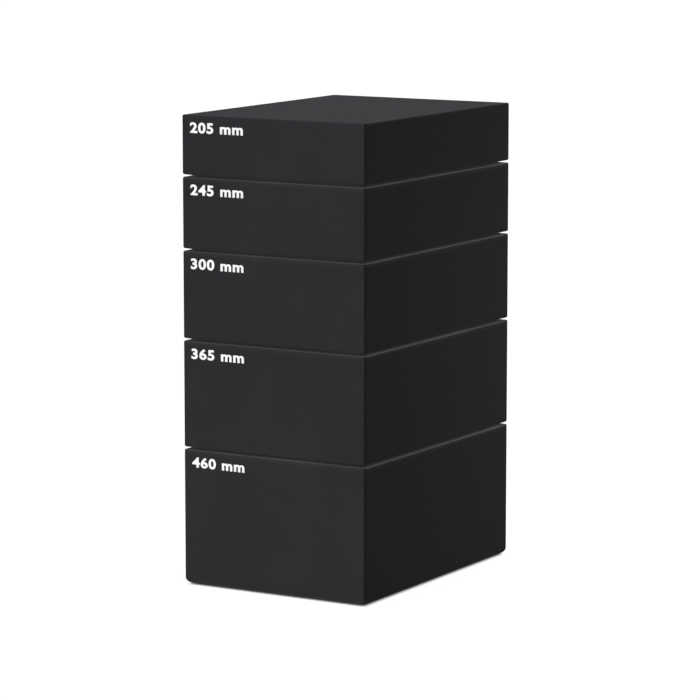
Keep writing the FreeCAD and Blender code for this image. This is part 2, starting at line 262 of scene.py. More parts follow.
def makeVinyl():
    look = vinylLook
    material, tree, shader, patches = startFinish(look)
    wearAndHighlight, seamShadeMask = (addNode(tree, "ShaderNodeAttribute", attribute_name=name).outputs["Fac"]
                  for name in ("wearAndHighlight", "seamShadeMask"))
    # rubbing with painted highlight and painted light along the edges
    rubAndLightLow, rubAndLightHigh = look["rubAndLightShare"]
    rubAndLightShare = mathNode(tree, "MULTIPLY_ADD", patches["Mask"], rubAndLightHigh - rubAndLightLow, rubAndLightLow)
    rubbedAndLit = mixNode(tree, mathNode(tree, "MULTIPLY", wearAndHighlight, rubAndLightShare), patches["Color"], look["rubbedAndLit"])
    # painted shade along the upright seams, laid over the rubbed and lit vinyl
    paintedSeamShade = mixNode(tree, seamShadeMask, rubbedAndLit, look["paintedSeamShade"])
    grain = addRelief(tree, look)
    shade = rangeNode(tree, grain, look["grainSpan"], look["grainShade"])
    feed(tree, mixNode(tree, 1.0, paintedSeamShade, shade, "MULTIPLY"), shader.inputs["Base Color"])
    puckers = useGroup(tree, seamPucker).outputs["Height"]
    puckered = addBump(tree, shader, puckers, look["puckerStrength"], look["puckerDepth"])
    addBump(tree, shader, grain, look["strength"], look["depth"], puckered)
    return material


finishLooks = {
    "tread": {
        "material": "nonSlipTread",
        "clean": srgb(38, 37, 38), "handled": srgb(58, 56, 53), "patchScale": 6.0, "speckScale": 220.0,
        "roughness": (0.7, 0.88), "specular": 0.2,
        "grain": {"CellScale": 900.0, "FineScale": 2600.0}, "strength": 0.6, "depth": 0.0002,
    },
    "coreFoam": {
        "material": "coreFoam",
        "clean": srgb(214, 214, 210), "handled": srgb(196, 196, 190), "patchScale": 9.0, "speckScale": 260.0 / 3,
        "roughness": (0.78, 0.92), "specular": 0.2,
        "grain": {"CellScale": 260.0, "FineScale": 650.0, "FineShare": 0.2}, "strength": 0.8, "depth": 0.0008,
    },
    "padFoam": {
        "material": "padFoam",
        "clean": srgb(92, 96, 104), "handled": srgb(80, 84, 92), "patchScale": 9.0, "speckScale": 520.0 / 3,
        "roughness": (0.78, 0.92), "specular": 0.2,
        "grain": {"CellScale": 520.0, "FineScale": 1300.0, "FineShare": 0.2}, "strength": 0.8, "depth": 0.0008,
    },
    "tape": {
        "material": "wovenTape",
        "clean": srgb(34, 33, 35), "handled": srgb(48, 47, 49), "patchScale": 30.0, "speckScale": 700.0,
        "roughness": (0.75, 0.9), "specular": 0.2, "sheen": 0.15,
        "threads": 420.0, "strength": 0.7, "depth": 0.0003,
    },
    "thread": {
        "material": "sewingThread",
        "clean": srgb(40, 39, 41), "handled": srgb(62, 60, 62), "patchScale": 60.0, "speckScale": 900.0,
        "roughness": (0.55, 0.7), "specular": 0.3, "sheen": 0.2,
        "threads": 1500.0, "strength": 0.6, "depth": 0.0002,
    },
    "nylon": {
        "material": "coilNylon",
        "clean": srgb(30, 29, 31), "handled": srgb(40, 39, 41), "patchScale": 40.0, "speckScale": 500.0,
        "roughness": (0.35, 0.5), "specular": 0.4,
        "threads": 260.0, "strength": 0.8, "depth": 0.0006,
    },
    "lacquer": {  # black lacquer over cast metal, rubbed towards the metal in small patches
        "material": "sliderLacquer",
        "clean": srgb(36, 35, 37), "handled": srgb(74, 73, 74), "patchScale": 160.0, "speckScale": 1500.0,
        "roughness": (0.3, 0.46), "specular": 0.5, "bareMetal": 0.6,
        "grain": {"CellScale": 2500.0, "FineScale": 6000.0}, "strength": 0.25, "depth": 0.0001,
    },
    "grip": {
        "material": "pullGrip",
        "clean": srgb(40, 39, 41), "handled": srgb(54, 53, 55), "patchScale": 120.0, "speckScale": 1200.0,
        "roughness": (0.5, 0.68), "specular": 0.35,
        "grain": {"CellScale": 2200.0, "FineScale": 5200.0}, "strength": 0.45, "depth": 0.00012,
    },
    "print": {  # white screen print, a little thin where the vinyl's grain shows through
        "material": "whitePrint",
        "clean": srgb(250, 249, 250), "handled": srgb(238, 237, 239), "patchScale": 30.0, "speckScale": 420.0,
        "roughness": (0.5, 0.62), "specular": 0.2,
        "grain": {"CellScale": 620.0, "FineScale": 1860.0}, "strength": 0.25, "depth": 0.0001,
    },
}


def makeFinish(look):
    material, tree, shader, patches = startFinish(look)
    if "bareMetal" in look:
        feed(tree, mathNode(tree, "MULTIPLY", patches["Mask"], look["bareMetal"]), shader.inputs["Metallic"])
    addBump(tree, shader, addRelief(tree, look), look["strength"], look["depth"])
    return material


finishes = {"vinyl": makeVinyl()}
finishes.update({name: makeFinish(look) for name, look in finishLooks.items()})
print("finishes made:", ", ".join(finishes))


def addPiece(name, mesh, finish, body, stands=()):
    piece = bpy.data.objects.new(name, mesh)
    bpy.context.scene.collection.objects.link(piece)
    mesh.materials.clear()
    mesh.materials.append(finishes[finish])
    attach(piece, body)
    if stands:
        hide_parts(*stands)
    return piece


def keepMesh(mesh, name):  # turns a bmesh into mesh data
    made = bpy.data.meshes.new(name)
    mesh.to_mesh(made)
    mesh.free()
    return made


def addSides(mesh, rings):  # smooth faces from ring to ring
    size = len(rings[0])
    for near, far in zip(rings, rings[1:]):
        for k in range(size):
            mesh.faces.new([near[k], near[(k + 1) % size], far[(k + 1) % size], far[k]]).smooth = True


def addTube(mesh, rings):  # a short rod with one flat face at each end
    addSides(mesh, rings)
    mesh.faces.new(list(reversed(rings[0])))
    mesh.faces.new(rings[-1])


def addStripEnd(mesh, ring):  # closes a strip whose ring runs out along one side and back along the other
    size = len(ring)
    for k in range(size // 2 - 1):
        mesh.faces.new([ring[k], ring[k + 1], ring[size - 2 - k], ring[size - 1 - k]])


def addStrip(mesh, rings):
    addSides(mesh, rings)
    addStripEnd(mesh, rings[0])
    addStripEnd(mesh, rings[-1])


def blockBox(block):  # the cover's outer faces, and the lip that the walls end in below
    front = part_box(block + "_front_panel")
    return {
        "halfWidth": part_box(block + "_right_panel")[1].x,
        "halfDepth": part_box(block + "_back_panel")[1].y,
        "lip": front[0].z,
        "top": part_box(block + "_landing_panel")[1].z,
        "floor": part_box(block + "_floor_panel")[0].z,
        "standing": block == blockNames[0],
    }


cover = {
    "vinyl": 0.0012,
    "landingRound": 0.004,
    "uprightRound": 0.008,
    "standingRound": 0.022,  # round the floor face of the bottom block
    "floorRound": 0.005,  # where a wall of another block turns into the slope that it draws in along below
    "slopeRise": 0.0075,
    "slopeRun": 0.036,
    "slopeFootRound": 0.040,
    "cornerSwell": 0.012,  # how much rounder the upright corners are at the floor
    "seamDepth": 0.0008,
    "seamWidth": 0.0018,
    # width of the painted shade along each upright seam
    "seamShadeWidth": 0.004,
    "slack": 0.0004,  # how far the sheet lies in from the flat in its hollows
    "slackSize": 0.16,
    "slackFrom": 0.04,  # how far from a seam the hollows reach their full depth
    "slotRise": 0.007,  # half the height of the slot that the zip shows through
    "hemRise": 0.0005,
    "hemWidth": 0.007,
    "hemShoulder": 0.002,
    "hemFade": 0.0012,
    "hemSeam": 0.004,  # how far the slot's edge lies from its row of stitches
}
coverGrid = {  # how finely the cover is divided
    "step": 0.014,
    "standingSteps": 12,
    "footSteps": 4,
    "slopeSteps": 5,
    "turnSteps": 8,
    "arcSteps": 6,  # over half of a rounded edge, as far as its seam
    "landingEdge": (0.0, 0.0007, 0.0015, 0.0026, 0.0042),  # rows in from the landing's seam, up to its bend
    "landingInner": (0.0095, 0.016, 0.026),
    "landingArc": 1.1,  # way over the rounded edge, for each metre in from the seam
    "crease": 0.9,  # angle in radians above which an edge stays sharp
}
rubAndHighlight = {  # how pale the vinyl is along its edges, 0 to 1: rubbing, with painted light along the lower edges that lifts their shade, and painted highlight along the top edges under a block above
    # painted light that lifts the shade of the lower round, with some rubbing
    "floor": 0.35,
    "floorReach": 0.030,
    "stackedShort": 0.55,  # along the top edges that a block above rests on
    # more painted highlight on the long walls, which the lamps light less than the short ones
    "stackedLong": 1.0,
    "stackedReach": 0.0045,
    "landingReach": 0.024,
    "freeTop": 0.0,  # along the top edges of the uppermost block
}
wallTurns = {  # the way along each wall, and the way that it faces
    "front_panel": (Vector((1, 0, 0)), Vector((0, -1, 0))),
    "right_panel": (Vector((0, 1, 0)), Vector((1, 0, 0))),
    "back_panel": (Vector((-1, 0, 0)), Vector((0, 1, 0))),
    "left_panel": (Vector((0, -1, 0)), Vector((-1, 0, 0))),
}
quarterTurn, halfCorner = math.pi / 2, math.pi / 4


def evenSteps(low, high, step):
    count = max(1, round((high - low) / step))
    return [low + (high - low) * k / count for k in range(count + 1)]


def splitSteps(low, high, step, stops):  # even steps that also pass exactly through the given stops
    marks = [low] + [s for s in sorted(stops) if low < s < high] + [high]
    steps = [low]
    for start, end in zip(marks, marks[1:]):
        steps += evenSteps(start, end, step)[1:]
    return steps


def floorProfile(box):  # (inset, rise) from the floor seam round or up the slope into the wall
    if box["standing"]:
        count, radius = coverGrid["standingSteps"], cover["standingRound"]
        angles = [quarterTurn * k / count for k in range(count + 1)]
        return [(radius * (1 - math.sin(a)), radius * (1 - math.cos(a))) for a in angles]
    slope = math.atan2(cover["slopeRise"], cover["slopeRun"])
    footR, wallR = cover["slopeFootRound"], cover["floorRound"]
    foot = cover["slopeRun"] + footR * math.tan(slope / 2)
    straight = cover["slopeRise"] + wallR * math.tan((quarterTurn - slope) / 2)
    footAngles = [slope * k / coverGrid["footSteps"] for k in range(coverGrid["footSteps"] + 1)]
    rows = [(foot - footR * math.sin(a), footR * (1 - math.cos(a))) for a in footAngles]
    count = coverGrid["turnSteps"]
    turnAngles = [slope + (quarterTurn - slope) * k / count for k in range(count + 1)]
    turn = [(wallR * (1 - math.sin(a)), straight - wallR * math.cos(a)) for a in turnAngles]
    (lowInset, lowRise), (highInset, highRise) = rows[-1], turn[0]
    count = coverGrid["slopeSteps"]
    rows += [(lowInset + (highInset - lowInset) * k / count, lowRise + (highRise - lowRise) * k / count)
             for k in range(1, count)]
    return rows + turn


def floorInset(box, rise):  # how far in the cover lies at a height above its lower lip
    rows = floorProfile(box)
    for (lowInset, lowRise), (highInset, highRise) in zip(rows, rows[1:]):
        if rise <= highRise:
            share = max(0.0, (rise - lowRise) / (highRise - lowRise))
            return lowInset + (highInset - lowInset) * share
    return 0.0


def cornerAngles():  # from the flat of a face to the seam halfway round its edge
    return [halfCorner * k / coverGrid["arcSteps"] for k in range(coverGrid["arcSteps"] + 1)]


def wallProfile(box, stops):  # (inset, height) up the wall, from the floor seam round to the landing seam
    landingR = cover["landingRound"]
    rows = [(inset, box["lip"] + rise) for inset, rise in floorProfile(box)]
    rows += [(0.0, z) for z in splitSteps(rows[-1][1], box["top"] - landingR, coverGrid["step"], stops)[1:]]
    return rows + [(landingR * (1 - math.cos(a)), box["top"] - landingR * (1 - math.sin(a)))
                   for a in cornerAngles()[1:]]


def cornerRound(box, inset, z):  # radius of the upright corner at a height where the wall lies in by the inset
    if z < (box["lip"] + box["top"]) / 2:
        return cover["uprightRound"] + cover["cornerSwell"] * inset / floorInset(box, 0.0)
    return cover["uprightRound"] - inset


def seamDip(distance):
    return cover["seamDepth"] * math.exp(-(distance / cover["seamWidth"]) ** 2)


def slackDip(point, distance):
    wave = 0.5 + 0.5 * noise.noise(point / cover["slackSize"])
    return cover["slack"] * wave * min(1.0, distance / cover["slackFrom"])


def hemRise(distance):
    past = distance - cover["hemWidth"]
    return cover["hemRise"] * (1 if past < 0 else math.exp(-(past / cover["hemFade"]) ** 2))


def fade(distance, reach):  # 1 at the edge, easing to 0 at the reach
    share = min(1.0, max(0.0, distance / reach))
    return 1 - share * share * (3 - 2 * share)


# how pale the top edges are, from rubbing and painted highlight; none on the uppermost block
def topRubAndHighlight(block, name):
    if block == blockNames[-1]:
        return rubAndHighlight["freeTop"]
    return rubAndHighlight["stackedShort"] if name in ("front_panel", "back_panel") else rubAndHighlight["stackedLong"]


def sheetMesh(name, points, seams, wearsAndHighlights, seamShades=None, hole=None):  # a grid of points as a closed sheet of vinyl
    rowCount, columnCount = len(points), len(points[0])
    mesh = bmesh.new()
    # the layers hold the distance to the seam, the rubbing with its painted highlight and light, and the painted
    # shade at the upright seams
    seamLayer, wearAndHighlightLayer, seamShadeLayer = (mesh.verts.layers.float.new(layer) for layer in ("seam", "wearAndHighlight", "seamShadeMask"))
    outer, inner = [], []
    for r in range(rowCount):
        for c in range(columnCount):
            across = points[r][min(c + 1, columnCount - 1)] - points[r][max(c - 1, 0)]
            up = points[min(r + 1, rowCount - 1)][c] - points[max(r - 1, 0)][c]
            normal = across.cross(up).normalized()
            distance = seams[r][c]
            outside = points[r][c] - normal * (seamDip(distance) + slackDip(points[r][c], distance))
            for side, place in ((outer, outside), (inner, points[r][c] - normal * cover["vinyl"])):
                vert = mesh.verts.new(place)
                vert[seamLayer] = distance
                vert[wearAndHighlightLayer] = wearsAndHighlights[r][c]
                vert[seamShadeLayer] = seamShades[r][c] if seamShades else 0.0
                side.append(vert)
    for r in range(rowCount - 1):
        for c in range(columnCount - 1):
            if hole and hole(r, c):
                continue
            low, high = r * columnCount + c, (r + 1) * columnCount + c
            ring = [low, low + 1, high + 1, high]
            mesh.faces.new([outer[k] for k in ring]).smooth = True
            mesh.faces.new([inner[k] for k in reversed(ring)]).smooth = True
    order = {vert: k for k, vert in enumerate(outer)}
    # the sheet's cut edges are closed between its two faces
    for edge in [e for e in mesh.edges if len(e.link_faces) == 1 and e.verts[0] in order]:
        loop = next(l for l in edge.link_faces[0].loops if l.edge == edge)
        first, second = loop.vert, loop.link_loop_next.vert
        mesh.faces.new([second, first, inner[order[first]], inner[order[second]]])
        edge.smooth = False
    bmesh.ops.delete(mesh, geom=[v for v in mesh.verts if not v.link_faces], context="VERTS")
    mesh.normal_update()
    for edge in mesh.edges:
        if len(edge.link_faces) == 2 and edge.calc_face_angle(0) > coverGrid["crease"]:
            edge.smooth = False
    return keepMesh(mesh, name)


def zipSlot(block):  # the opening that the zip shows through
    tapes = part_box(block + "_zip_tapes")
    return {
        "half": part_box(block + "_zip_coils")[1].x,
        "middle": (tapes[0].z + tapes[1].z) / 2,
        "rise": cover["slotRise"],
    }


def makeWall(block, name, box):
    along, outward = wallTurns[name]
    half, plane = box["halfWidth"], box["halfDepth"]
    if outward.x:
        half, plane = plane, half
    slot = zipSlot(block) if name == "back_panel" else None
    rises, runs = [], []
    if slot:
        hems = (0.0, cover["hemWidth"], cover["hemWidth"] + cover["hemShoulder"])
        rises = [slot["middle"] + side * (slot["rise"] + hem) for side in (-1, 1) for hem in hems]
        runs = [side * (slot["half"] + hem) for side in (-1, 1) for hem in hems]
    rows = wallProfile(box, rises)
    lengths = [0.0]
    for (i0, z0), (i1, z1) in zip(rows, rows[1:]):
        lengths.append(lengths[-1] + math.hypot(i1 - i0, z1 - z0))
    arcs = cornerAngles()
    flat = half - cover["uprightRound"]
    middle = splitSteps(-flat, flat, coverGrid["step"], runs)[1:-1]
    points, seams, wearsAndHighlights, seamShades = [], [], [], []
    for (inset, z), length in zip(rows, lengths):
        corner = cornerRound(box, inset, z)
        reach = half - inset - corner
        face = plane - inset
        # rubbing, with painted light up from the floor seam and painted highlight down from the landing seam
        wornAndLit = max(rubAndHighlight["floor"] * fade(length, rubAndHighlight["floorReach"]),
                   topRubAndHighlight(block, name) * fade(lengths[-1] - length, rubAndHighlight["stackedReach"]))
        bend = [(reach + corner * math.sin(a), face - corner * (1 - math.cos(a)), corner * (halfCorner - a))
                for a in arcs]
        spots = [(-u, out, toSide) for u, out, toSide in reversed(bend)]
        spots += [(u * reach / flat, face, reach * (1 - abs(u) / flat) + corner * halfCorner) for u in middle]
        spots += bend
        line, near, deep = [], [], []
        for u, out, toSide in spots:
            lift = 0.0
            distance = max(0.0, min(toSide, lengths[-1] - length, length))
            if slot:
                above, beside = abs(z - slot["middle"]) - slot["rise"], abs(u) - slot["half"]
                toSlot = math.hypot(max(0.0, above), max(0.0, beside))
                lift = hemRise(toSlot)
                distance = min(distance, toSlot + cover["hemSeam"])
            line.append(along * u + outward * (out + lift) + Vector((0, 0, z)))
            near.append(distance)
            # painted shade, darkest at the seam halfway round the corner
            deep.append(math.exp(-(toSide / cover["seamShadeWidth"]) ** 2))
        points.append(line)
        seams.append(near)
        seamShades.append(deep)
        wearsAndHighlights.append([wornAndLit] * len(line))
    columns = [u for u, _, _ in spots]

    def inSlot(r, c):
        u = (columns[c] + columns[c + 1]) / 2
        z = (rows[r][1] + rows[r + 1][1]) / 2
        return abs(u) < slot["half"] and abs(z - slot["middle"]) < slot["rise"]

    mesh = sheetMesh(f"{block}_{name}", points, seams, wearsAndHighlights, seamShades, inSlot if slot else None)
    wall = addPiece(f"{block}_cover_{name}", mesh, "vinyl", block, [f"{block}_{name}"])


def makeLanding(block, box):
    landingR, uprightR = cover["landingRound"], cover["uprightRound"]
    seamInset = landingR * (1 - math.cos(halfCorner))
    bend = uprightR - seamInset  # radius of the seam where it goes round a corner
    edgeSteps = [*coverGrid["landingEdge"], bend, *coverGrid["landingInner"]]
    halves = [box["halfWidth"] - seamInset, box["halfDepth"] - seamInset]
    lines = []
    for half in halves:
        middle = evenSteps(-half + edgeSteps[-1], half - edgeSteps[-1], coverGrid["step"])[1:-1]
        lines.append([-half + e for e in edgeSteps] + middle + [half - e for e in reversed(edgeSteps)])
    points, seams, wearsAndHighlights = [], [], []
    for y in lines[1]:
        line, near, wornAndLit = [], [], []
        for x in lines[0]:
            toX, toY = halves[0] - abs(x), halves[1] - abs(y)
            px, py, inset = x, y, min(toX, toY)
            if toX < bend and toY < bend:  # square corner of the grid bent into a quarter disc
                sx, sy = 1 - toX / bend, 1 - toY / bend
                bx, by = sx * math.sqrt(1 - sy * sy / 2), sy * math.sqrt(1 - sx * sx / 2)
                px = math.copysign(halves[0] - bend + bend * bx, x)
                py = math.copysign(halves[1] - bend + bend * by, y)
                inset = bend * (1 - math.hypot(bx, by))
            inset = max(0.0, inset)
            fall = max(0.0, landingR - seamInset - inset)
            drop = landingR - math.sqrt(landingR * landingR - fall * fall)
            line.append(Vector((px, py, box["top"] - drop)))
            near.append(inset * coverGrid["landingArc"])
            side = "right_panel" if toX < toY else "front_panel"
            # rubbing and painted highlight in from the landing's edges
            wornAndLit.append(topRubAndHighlight(block, side) * fade(inset, rubAndHighlight["landingReach"]))
        points.append(line)
        seams.append(near)
        wearsAndHighlights.append(wornAndLit)
    mesh = sheetMesh(f"{block}_landing_panel", points, seams, wearsAndHighlights)
    landing = addPiece(f"{block}_cover_landing_panel", mesh, "vinyl", block,
                       [f"{block}_landing_panel"])


softEdge = {"segments": 2, "angle": 40}


def softenEdges(piece, width):
    bevel = piece.modifiers.new("softEdges", "BEVEL")
    bevel.width = width
    bevel.segments = softEdge["segments"]
    bevel.limit_method = "ANGLE"
    bevel.angle_limit = math.radians(softEdge["angle"])
    bevel.harden_normals = True
    piece.data.shade_smooth()


tread = {
    "cornerFit": 0.0008,  # how far the corners stay inside the cover's lower lip
    "cornerSteps": (0.0, 0.01, 0.04, 0.09, 0.16),  # first points in from each end, as shares of the round
    "ribPitch": 0.009,
    "ribLand": 0.0046,
    "grooveDepth": 0.0009,
    "grooveFoot": 0.0014,
    "edgeBevel": 0.0006,
}


def makeTreadPanel(block, box):  # ribbed underside, swept front to back between rounded corners
    low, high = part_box(block + "_floor_panel")
    corner = cornerRound(box, floorInset(box, 0.0), box["lip"]) + tread["cornerFit"]

    def reach(x):
        past = max(0.0, abs(x) - (high.x - corner))
        return high.y - corner + math.sqrt(max(0.0, corner * corner - past * past))

    pitch = tread["ribPitch"]
    count = int((high.x - low.x - tread["ribLand"]) / pitch)
    margin = (high.x - low.x - count * pitch) / 2
    rim = (pitch - tread["ribLand"]) / 2
    foot = tread["grooveFoot"] / 2
    grooveTop = low.z + tread["grooveDepth"]
    ends = [low.x + corner * share for share in tread["cornerSteps"]]
    profile = [(x, low.z) for x in ends]
    for k in range(count):
        valley = low.x + margin + (k + 0.5) * pitch
        profile += [(valley - rim, low.z), (valley - foot, grooveTop)]
        profile += [(valley + foot, grooveTop), (valley + rim, low.z)]
    profile += [(-x, low.z) for x in reversed(ends)]
    profile += [(x, high.z) for x, _ in reversed(profile)]
    mesh = bmesh.new()
    rings = [[mesh.verts.new((x, side * reach(x), z)) for x, z in profile] for side in (-1, 1)]
    size = len(profile)
    for k in range(size):
        mesh.faces.new([rings[0][k], rings[1][k], rings[1][(k + 1) % size], rings[0][(k + 1) % size]])
    for ring in rings:
        addStripEnd(mesh, ring)
    bmesh.ops.recalc_face_normals(mesh, faces=mesh.faces)
    made = keepMesh(mesh, f"{block}_tread")
    piece = addPiece(f"{block}_cover_floor_panel", made, "tread", block, [f"{block}_floor_panel"])
    softenEdges(piece, tread["edgeBevel"])


copyClean = {"merge": 1e-6, "flatAngle": 1.5}  # joins split points, and takes out edges inside flat faces


def dressedCopy(node, name, finish, edge, settle=None):  # the node's own shape with rounded edges
    mesh = bmesh.new()
    mesh.from_mesh(nodes[node].data)
    bmesh.ops.remove_doubles(mesh, verts=mesh.verts, dist=copyClean["merge"])
    flat = math.radians(copyClean["flatAngle"])
    bmesh.ops.dissolve_limit(mesh, angle_limit=flat, verts=mesh.verts, edges=mesh.edges)
    if settle:
        for vert in mesh.verts:
            settle(vert)
    piece = addPiece(name, keepMesh(mesh, name), finish, nodes[node]["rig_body"], [node])
    softenEdges(piece, edge)
    return piece


foam = {
    "slabEdge": 0.003,
    "padEdge": 0.0025,
    "fit": 0.0022,  # how far the slabs' corners stay inside the cover
}


def makeFoamPieces(block, box):
    def settle(vert):  # keeps the lowest slab's corners inside the cover's rounder ones
        inset = floorInset(box, vert.co.z - box["lip"] - foam["fit"])
        if inset == 0.0:
            return
        corner = cornerRound(box, inset, vert.co.z)
        centre = Vector((box["halfWidth"] - inset - corner, box["halfDepth"] - inset - corner))
        spot = Vector((abs(vert.co.x), abs(vert.co.y)))
        if spot.x <= centre.x or spot.y <= centre.y:
            return
        arm = spot - centre
        limit = corner - foam["fit"]
        if arm.length > limit:
            spot = centre + arm.normalized() * limit
            vert.co.x = math.copysign(spot.x, vert.co.x)
            vert.co.y = math.copysign(spot.y, vert.co.y)

    slabs = dressedCopy(block + "_foam_slabs", block + "_core_slabs", "coreFoam",
                        foam["slabEdge"], settle)
    pad = dressedCopy(block + "_impact_pad", block + "_soft_pad", "padFoam", foam["padEdge"])


zipLook = {
    "metalEdge": 0.00035,
    "gripEdge": 0.0005,
    "slit": 0.0024,
    "stopLength": 0.003,
    "stopEnd": 0.15,  # share of a stop's half length that its rounded end takes
    "loopPitch": 0.002,
    "loopWidth": 0.0016,
    "loopReach": 0.0003,  # how far the loops of a coil stand out past their tape's edge
    "loopEnd": 0.3,
    "loopTip": 0.55,  # width of a rounded end's tip, as a share of the whole
    "loopSides": 6,
    "clothStep": (0.02, 0.004),  # grid of the tapes and the lining, along and across
    "ribPitch": 0.0012,
    "ribDepth": 0.00012,
    "ribSteps": 6,
    "liningGap": 0.00038,  # from the slider's inner plate back to the foam
    "liningThickness": 0.00025,
}
stitch = {
    "pitch": 0.0046,
    "length": 0.0034,
    "radius": 0.00045,
    "inset": 0.0035,  # from the slot's edge out to the row of stitches
    "steps": (-1.0, -0.7, 0.0, 0.7, 1.0),
    "sides": 6,
    "tip": 0.08,  # squared share of the radius that is left at the ends
    "sink": 0.75,  # share of the radius by which the thread lies in the vinyl
}


def stitchRow(start, end):
    count = max(1, round((end - start).length / stitch["pitch"]))
    return [start.lerp(end, (k + 0.5) / count) for k in range(count)]


def addStitch(mesh, middle, along, outward):  # a short bead of thread that dives into the vinyl at both ends
    side = along.cross(outward)
    half, radius = stitch["length"] / 2, stitch["radius"]
    angles = [math.tau * k / stitch["sides"] for k in range(stitch["sides"])]
    rings = []
    for t in stitch["steps"]:
        swell = math.sqrt(max(stitch["tip"], 1 - t * t))
        centre = middle + along * (half * t) + outward * (radius * (swell - stitch["sink"]))
        rings.append([mesh.verts.new(centre + (side * math.cos(a) + outward * math.sin(a)) * radius * swell)
                      for a in angles])
    addTube(mesh, rings)


def makeStitches(block, box):  # one row round the slot
    slot = zipSlot(block)
    across, up, outward = Vector((1, 0, 0)), Vector((0, 0, 1)), Vector((0, 1, 0))
    out = box["halfDepth"] + cover["hemRise"]
    reach, rise = slot["half"] + stitch["inset"], slot["rise"] + stitch["inset"]
    turns = ((-1, -1), (1, -1), (1, 1), (-1, 1))
    corners = [Vector((sx * reach, out, slot["middle"] + sz * rise)) for sx, sz in turns]
    mesh = bmesh.new()
    for k, along in enumerate((across, up, across, up)):
        for middle in stitchRow(corners[k], corners[(k + 1) % len(corners)]):
            addStitch(mesh, middle, along, outward)
    bmesh.ops.recalc_face_normals(mesh, faces=mesh.faces)
    addPiece(f"{block}_zip_stitches", keepMesh(mesh, f"{block}_stitches"), "thread", block)


def addPill(mesh, low, high, end):  # a box rounded to a long bead along Z
    middle, half = (low + high) / 2, (high - low) / 2
    tip, sides = zipLook["loopTip"], zipLook["loopSides"]
    angles = [math.tau * (k + 0.5) / sides for k in range(sides)]
    rings = []
    for rise, share in ((-1.0, tip), (-1.0 + end, 1.0), (1.0 - end, 1.0), (1.0, tip)):
        wide, deep = half.x * share, half.y * share
        spots = [Vector((wide * math.cos(a), deep * math.sin(a), half.z * rise)) for a in angles]
        rings.append([mesh.verts.new(middle + spot) for spot in spots])
    addTube(mesh, rings)


def makeCoils(block):  # two rows of nylon loops between end stops
    tapes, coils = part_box(block + "_zip_tapes"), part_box(block + "_zip_coils")
    middle = (tapes[0].z + tapes[1].z) / 2
    outer = (coils[1].z - coils[0].z) / 2
    slit = zipLook["slit"] / 2
    stop = zipLook["stopLength"]
    half = coils[1].x - stop
    count = int(2 * half / zipLook["loopPitch"])
    mesh = bmesh.new()

    def addBead(side, near, x, width, end):
        low, high = sorted((middle + side * near, middle + side * outer))
        addPill(mesh, Vector((x - width / 2, coils[0].y, low)), Vector((x + width / 2, coils[1].y, high)), end)

    for side in (-1, 1):
        for k in range(count):
            x = -half + (k + 0.5) * 2 * half / count
            addBead(side, slit - zipLook["loopReach"], x, zipLook["loopWidth"], zipLook["loopEnd"])
        for end in (-1, 1):
            addBead(side, slit, end * (half + stop / 2), stop, zipLook["stopEnd"])
    bmesh.ops.recalc_face_normals(mesh, faces=mesh.faces)
    made = keepMesh(mesh, f"{block}_loops")
    addPiece(f"{block}_coil_loops", made, "nylon", block, [f"{block}_zip_coils"])


def makeLining(block):  # dark strip on the foam behind the zip
    tapes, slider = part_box(block + "_zip_tapes"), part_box(block + "_zip_slider")
    back = slider[0].y - zipLook["liningGap"]
    xSteps = evenSteps(tapes[0].x, tapes[1].x, zipLook["clothStep"][0])
    zSteps = evenSteps(tapes[0].z, tapes[1].z, zipLook["clothStep"][1])
    profile = [(back, z) for z in zSteps] + [(back + zipLook["liningThickness"], z) for z in reversed(zSteps)]
    mesh = bmesh.new()
    addStrip(mesh, [[mesh.verts.new((x, y, z)) for y, z in profile] for x in xSteps])
    bmesh.ops.recalc_face_normals(mesh, faces=mesh.faces)
    lining = addPiece(f"{block}_zip_lining", keepMesh(mesh, f"{block}_lining"), "tape", block)


def makeTapes(block):  # upper and lower tape, woven with ribs along their length
    low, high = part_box(block + "_zip_tapes")
    middle = (low.z + high.z) / 2
    slit = zipLook["slit"] / 2
    width = high.z - middle - slit
    ribs = max(1, round(width / zipLook["ribPitch"]))
    count = zipLook["ribSteps"] * ribs
    shares = [k / count for k in range(count + 1)]
    xSteps = evenSteps(low.x, high.x, zipLook["clothStep"][0])
    mesh = bmesh.new()
    for side in (-1, 1):
        profile = [(high.y - zipLook["ribDepth"] * math.cos(math.pi * ribs * t) ** 2, t) for t in shares]
        profile += [(low.y, t) for t in reversed(shares)]
        rings = [[mesh.verts.new((x, y, middle + side * (slit + width * t))) for y, t in profile]
                 for x in xSteps]
        addStrip(mesh, rings)
    bmesh.ops.recalc_face_normals(mesh, faces=mesh.faces)
    for edge in mesh.edges:
        edge.smooth = edge.calc_face_angle(0) < coverGrid["crease"]
    made = keepMesh(mesh, f"{block}_tapes")
    woven = addPiece(f"{block}_woven_tapes", made, "tape", block, [f"{block}_zip_tapes"])


def makeZip(block, box):
    makeCoils(block)
    makeLining(block)
    dressedCopy(block + "_zip_slider", block + "_slider", "lacquer", zipLook["metalEdge"])
    dressedCopy(block + "_zip_pull", block + "_pull_tab", "grip", zipLook["gripEdge"])
    makeTapes(block)
    makeStitches(block, box)


mark = {
    "fromLeft": 0.033,
    "fromTop": 0.023,
    "height": 0.036,
    "width": 0.205,
    "bold": 0.035,  # how far each stroke is thickened, as a share of the letter size
    "resolution": 6,  # steps round each curve; finer ones break the thickened figures
    "spacing": 1.12,
    "proud": 0.00015,
    "depth": 0.0006,
}


